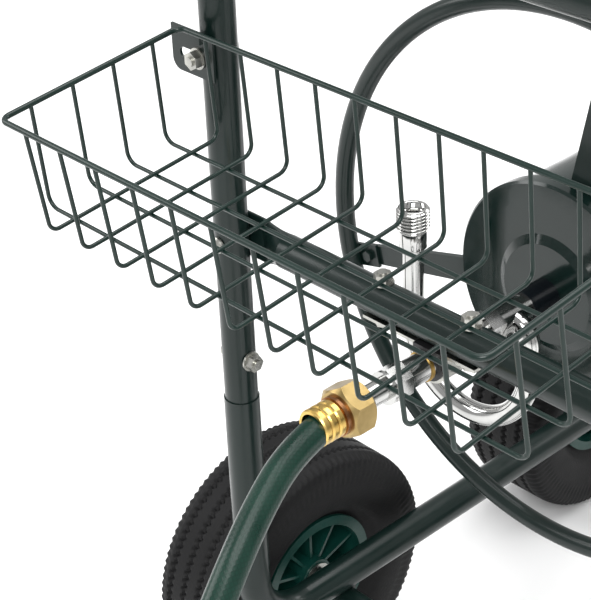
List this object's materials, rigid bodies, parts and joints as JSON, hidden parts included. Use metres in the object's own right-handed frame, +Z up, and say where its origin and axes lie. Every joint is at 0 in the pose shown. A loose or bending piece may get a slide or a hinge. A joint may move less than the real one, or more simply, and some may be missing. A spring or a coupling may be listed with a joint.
{
  "type": "garden hose reel cart",
  "caption": "Wheeled garden hose cart: push handle, wire basket, and a crank-turned drum reel between two hoops, fed through a swivel inlet by a short leader hose.",
  "frame": {"origin": "on the ground, at the middle of the cart's length and width (leader hose left out)", "axes": "+X to the cart's right, +Y to its rear (crank side), +Z up"},
  "size_m": [0.839, 1.3987, 1.004],
  "materials": {
    "frame_paint": "gloss",
    "basket_paint": "gloss",
    "grip_plastic": "matte",
    "zinc": "bright",
    "chrome": "polished",
    "brass": "satin",
    "hose": "gloss",
    "tyre": "matte",
    "rim_plastic": "gloss",
    "bush_plastic": "satin"
  },
  "bodies": {
    "cart": {"side_tube_left": "frame_paint", "side_tube_right": "frame_paint", "handle_tube": "frame_paint", "handle_grip": "grip_plastic", "handle_bolts": "zinc", "post_caps": "grip_plastic", "lower_crossbar": "frame_paint", "upper_crossbar": "frame_paint", "rear_crossbar": "frame_paint", "crossbar_bolts": "zinc", "front_axle_tube": "frame_paint", "rear_axle_tube": "frame_paint", "front_axle_rod": "zinc", "rear_axle_rod": "zinc", "axle_hardware": "zinc", "basket_rim": "basket_paint", "basket_cross_wires": "basket_paint", "basket_long_wires": "basket_paint", "basket_brackets": "frame_paint", "basket_bolts": "zinc", "front_bearing_block": "grip_plastic", "rear_bearing_block": "grip_plastic", "front_bearing_strap": "zinc", "rear_bearing_strap": "zinc", "bearing_bolts": "zinc", "inlet_body": "chrome", "inlet_ring": "brass", "hose_nut": "brass", "hose_collar": "brass", "hose_ferrule": "brass", "leader_hose": "hose", "hose_coil": "hose", "hose_end_piece": "brass"},
    "reel": {"reel_shaft": "frame_paint", "shaft_elbow": "chrome", "outlet_pipe": "chrome", "outlet_nipple": "chrome", "drum_shell": "frame_paint", "drum_disc_front": "frame_paint", "drum_disc_rear": "frame_paint", "hoop_front": "frame_paint", "hoop_rear": "frame_paint", "spokes_front": "frame_paint", "spokes_rear": "frame_paint", "spoke_bolts": "frame_paint", "crank_arm": "frame_paint", "knob_pin": "zinc"},
    "knob": {"crank_knob": "grip_plastic"},
    "wheel_front_left": {"tyre_front_left": "tyre", "rim_front_left": "rim_plastic", "bushes_front_left": "bush_plastic"},
    "wheel_front_right": {"tyre_front_right": "tyre", "rim_front_right": "rim_plastic", "bushes_front_right": "bush_plastic"},
    "wheel_rear_left": {"tyre_rear_left": "tyre", "rim_rear_left": "rim_plastic", "bushes_rear_left": "bush_plastic"},
    "wheel_rear_right": {"tyre_rear_right": "tyre", "rim_rear_right": "rim_plastic", "bushes_rear_right": "bush_plastic"}
  },
  "joints": [
    {"name": "reel_turn", "type": "hinge", "parent": "cart", "child": "reel", "pos_m": [0, 0, 0.538], "axis": [0, 1, 0], "continuous": true},
    {"name": "knob_turn", "type": "hinge", "parent": "reel", "child": "knob", "pos_m": [0.12287, 0.43, 0.45196], "axis": [0, 1, 0], "continuous": true},
    {"name": "turn_front_left", "type": "hinge", "parent": "cart", "child": "wheel_front_left", "pos_m": [-0.279, -0.175, 0.133], "axis": [1, 0, 0], "continuous": true},
    {"name": "turn_front_right", "type": "hinge", "parent": "cart", "child": "wheel_front_right", "pos_m": [0.279, -0.175, 0.133], "axis": [1, 0, 0], "continuous": true},
    {"name": "turn_rear_left", "type": "hinge", "parent": "cart", "child": "wheel_rear_left", "pos_m": [-0.279, 0.258, 0.133], "axis": [1, 0, 0], "continuous": true},
    {"name": "turn_rear_right", "type": "hinge", "parent": "cart", "child": "wheel_rear_right", "pos_m": [0.279, 0.258, 0.133], "axis": [1, 0, 0], "continuous": true}
  ]
}
